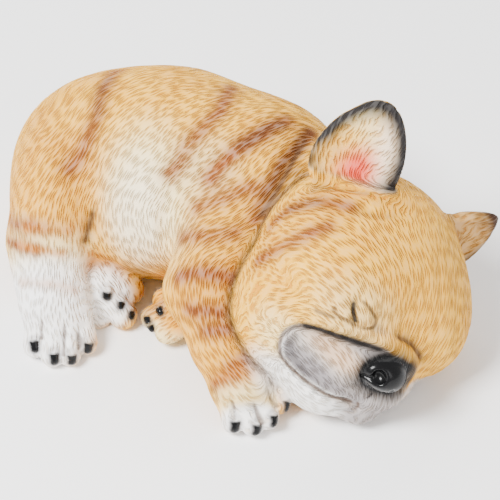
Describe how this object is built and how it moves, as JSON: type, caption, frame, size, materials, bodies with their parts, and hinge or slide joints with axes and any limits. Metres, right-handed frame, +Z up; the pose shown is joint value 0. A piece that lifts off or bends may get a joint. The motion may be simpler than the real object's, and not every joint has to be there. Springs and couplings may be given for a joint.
{
  "type": "french bulldog statue",
  "caption": "Sleeping short-muzzled puppy lying curled on its belly with its head turned on one cheek, a cast and painted ornament.",
  "frame": {"origin": "centre of the overall bounding box, at the height of the flat underside", "axes": "+Z up; +X along the dog from its rump to its head; -Y on the side of its legs and muzzle"},
  "size_m": [0.2, 0.1646, 0.1129],
  "materials": {
    "painted_resin": "hand-painted cast resin, matt, with a gloss nose and gloss claws"
  },
  "bodies": {
    "root": {"sleeping_dog": "painted_resin"}
  },
  "joints": []
}
